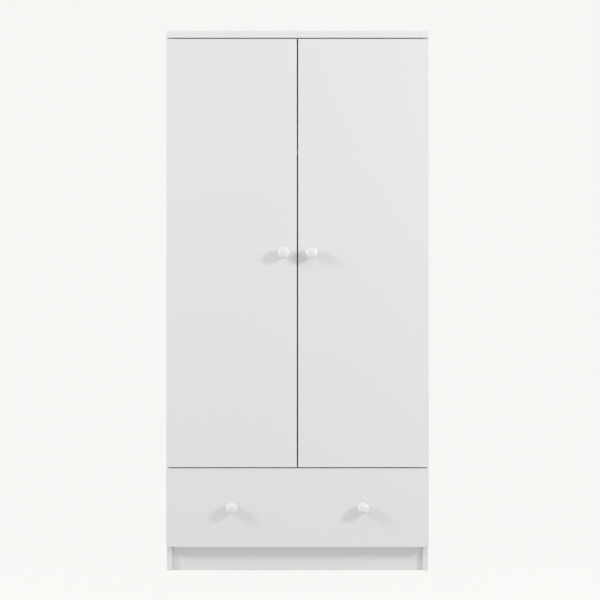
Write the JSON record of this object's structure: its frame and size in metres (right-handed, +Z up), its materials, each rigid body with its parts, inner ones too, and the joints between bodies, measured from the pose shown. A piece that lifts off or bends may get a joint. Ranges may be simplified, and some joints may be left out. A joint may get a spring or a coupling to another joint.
{
  "type": "wardrobe",
  "caption": "White two-door wardrobe over a full-width drawer, with round knobs, a hanging rail, a top shelf and a recessed plinth.",
  "frame": {"origin": "on the floor, at the middle of the overall width and of the overall depth with the knobs", "axes": "+X to the right as seen from the front, -Y out of the fronts towards the room, +Z up"},
  "size_m": [0.825, 0.5328, 1.7],
  "materials": {
    "white_melamine": "satin white melamine-faced board with white edge band",
    "hardboard": "thin hardboard, white lacquer inside and bare brown outside",
    "bare_wood": "bare beech",
    "knob_plastic": "glossy white",
    "plated_steel": "bright zinc and nickel plating",
    "rail_chrome": "polished chrome plating",
    "runner_steel": "white epoxy coating",
    "roller_nylon": "natural white nylon",
    "strip_plastic": "white moulded plastic",
    "bumper_rubber": "soft translucent grey"
  },
  "bodies": {
    "cabinet": {"left_side_panel": "white_melamine", "right_side_panel": "white_melamine", "top_panel": "white_melamine", "base_panel": "white_melamine", "hanging_space_floor": "white_melamine", "front_plinth": "white_melamine", "rear_plinth": "white_melamine", "top_shelf": "white_melamine", "back_panel_left": "hardboard", "back_panel_right": "hardboard", "back_joining_strip": "strip_plastic", "back_panel_nails": "plated_steel", "hanging_rail": "rail_chrome", "rail_socket_left": "plated_steel", "rail_socket_right": "plated_steel", "rail_socket_screws": "plated_steel", "shelf_pins": "plated_steel", "left_hinge_arms": "plated_steel", "right_hinge_arms": "plated_steel", "hinge_plates": "plated_steel", "hinge_screws": "plated_steel", "cabinet_runner_left": "runner_steel", "cabinet_runner_right": "runner_steel", "cabinet_runner_screws": "plated_steel", "cabinet_cam_locks": "plated_steel", "cabinet_cam_bolts": "plated_steel", "cabinet_dowels": "bare_wood", "wall_brackets": "plated_steel", "wall_bracket_screws": "plated_steel", "door_bumpers": "bumper_rubber"},
    "left_door": {"left_door_panel": "white_melamine", "left_door_knob": "knob_plastic", "left_knob_screw": "plated_steel", "left_hinge_cups": "plated_steel", "left_hinge_pins": "plated_steel", "left_cup_screws": "plated_steel"},
    "right_door": {"right_door_panel": "white_melamine", "right_door_knob": "knob_plastic", "right_knob_screw": "plated_steel", "right_hinge_cups": "plated_steel", "right_hinge_pins": "plated_steel", "right_cup_screws": "plated_steel"},
    "drawer": {"drawer_front": "white_melamine", "drawer_side_left": "white_melamine", "drawer_side_right": "white_melamine", "drawer_back": "white_melamine", "drawer_bottom": "hardboard", "drawer_bottom_batten": "bare_wood", "drawer_knob_left": "knob_plastic", "drawer_knob_right": "knob_plastic", "drawer_knob_screws": "plated_steel", "drawer_runner_left": "runner_steel", "drawer_runner_right": "runner_steel", "drawer_runner_screws": "plated_steel", "drawer_cam_fittings": "plated_steel", "drawer_back_screws": "plated_steel"},
    "front_roller_left": {"cabinet_roller_left": "roller_nylon"},
    "front_roller_right": {"cabinet_roller_right": "roller_nylon"},
    "rear_roller_left": {"drawer_roller_left": "roller_nylon"},
    "rear_roller_right": {"drawer_roller_right": "roller_nylon"}
  },
  "joints": [
    {"name": "left_door_hinge", "type": "hinge", "parent": "cabinet", "child": "left_door", "pos_m": [-0.4055, -0.2254, 1.0015], "axis": [0, 0, -1], "range_deg": [0, 100]},
    {"name": "right_door_hinge", "type": "hinge", "parent": "cabinet", "child": "right_door", "pos_m": [0.4055, -0.2254, 1.0015], "axis": [0, 0, 1], "range_deg": [0, 100]},
    {"name": "drawer_slide", "type": "slide", "parent": "cabinet", "child": "drawer", "axis": [0, -1, 0], "range_m": [0, 0.34]},
    {"name": "front_roller_left_spin", "type": "hinge", "parent": "cabinet", "child": "front_roller_left", "pos_m": [-0.3887, -0.1974, 0.1187], "axis": [1, 0, 0], "range_deg": [0, 1800]},
    {"name": "front_roller_right_spin", "type": "hinge", "parent": "cabinet", "child": "front_roller_right", "pos_m": [0.3887, -0.1974, 0.1187], "axis": [1, 0, 0], "range_deg": [0, 1800]},
    {"name": "rear_roller_left_spin", "type": "hinge", "parent": "drawer", "child": "rear_roller_left", "pos_m": [-0.3878, 0.2196, 0.1173], "axis": [1, 0, 0], "range_deg": [0, 1800]},
    {"name": "rear_roller_right_spin", "type": "hinge", "parent": "drawer", "child": "rear_roller_right", "pos_m": [0.3878, 0.2196, 0.1173], "axis": [1, 0, 0], "range_deg": [0, 1800]}
  ],
  "couplings": [
    {"joint": "front_roller_left_spin", "follows": "drawer_slide", "rad_per_m": 90.909},
    {"joint": "front_roller_right_spin", "follows": "drawer_slide", "rad_per_m": 90.909},
    {"joint": "rear_roller_left_spin", "follows": "drawer_slide", "rad_per_m": 90.909},
    {"joint": "rear_roller_right_spin", "follows": "drawer_slide", "rad_per_m": 90.909}
  ]
}
